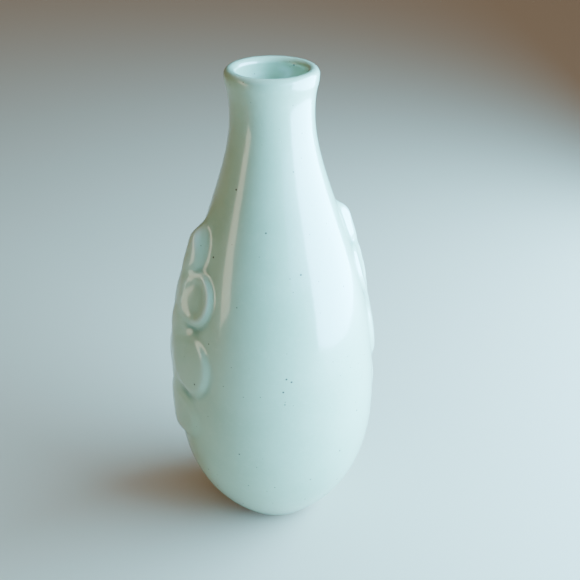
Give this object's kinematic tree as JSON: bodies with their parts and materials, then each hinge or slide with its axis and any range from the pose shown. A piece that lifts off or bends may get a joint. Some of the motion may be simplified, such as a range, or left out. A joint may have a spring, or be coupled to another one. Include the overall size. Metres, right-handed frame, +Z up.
{
  "type": "bud vase",
  "caption": "Slender bottle-shaped ceramic bud vase with a narrow flared mouth, a pear-shaped belly, applied petal reliefs on two opposite sides and a pale glossy glaze.",
  "frame": {"origin": "centre of the foot ring on the surface that the vase stands on", "axes": "+Z up along the vase's axis, +X towards the right-hand flower, -Y towards the plain side that faces the viewer"},
  "size_m": [0.0671, 0.0634, 0.15],
  "materials": {
    "celadon_glaze": "glossy pale green glaze with fine dark iron specks",
    "bare_stoneware": "matte unglazed buff clay"
  },
  "bodies": {
    "root": {"foot_ring": "bare_stoneware", "belly_section": "bare_stoneware", "neck_section": "bare_stoneware", "outer_glaze": "celadon_glaze", "inner_glaze": "celadon_glaze", "left_flower_centre": "celadon_glaze", "left_upper_front_petal": "celadon_glaze", "left_lower_front_petal": "celadon_glaze", "left_upper_back_petal": "celadon_glaze", "left_lower_back_petal": "celadon_glaze", "left_top_petal": "celadon_glaze", "left_bottom_petal": "celadon_glaze", "right_flower_centre": "celadon_glaze", "right_upper_front_petal": "celadon_glaze", "right_lower_front_petal": "celadon_glaze", "right_upper_back_petal": "celadon_glaze", "right_lower_back_petal": "celadon_glaze", "right_top_petal": "celadon_glaze", "right_bottom_petal": "celadon_glaze"}
  },
  "joints": []
}
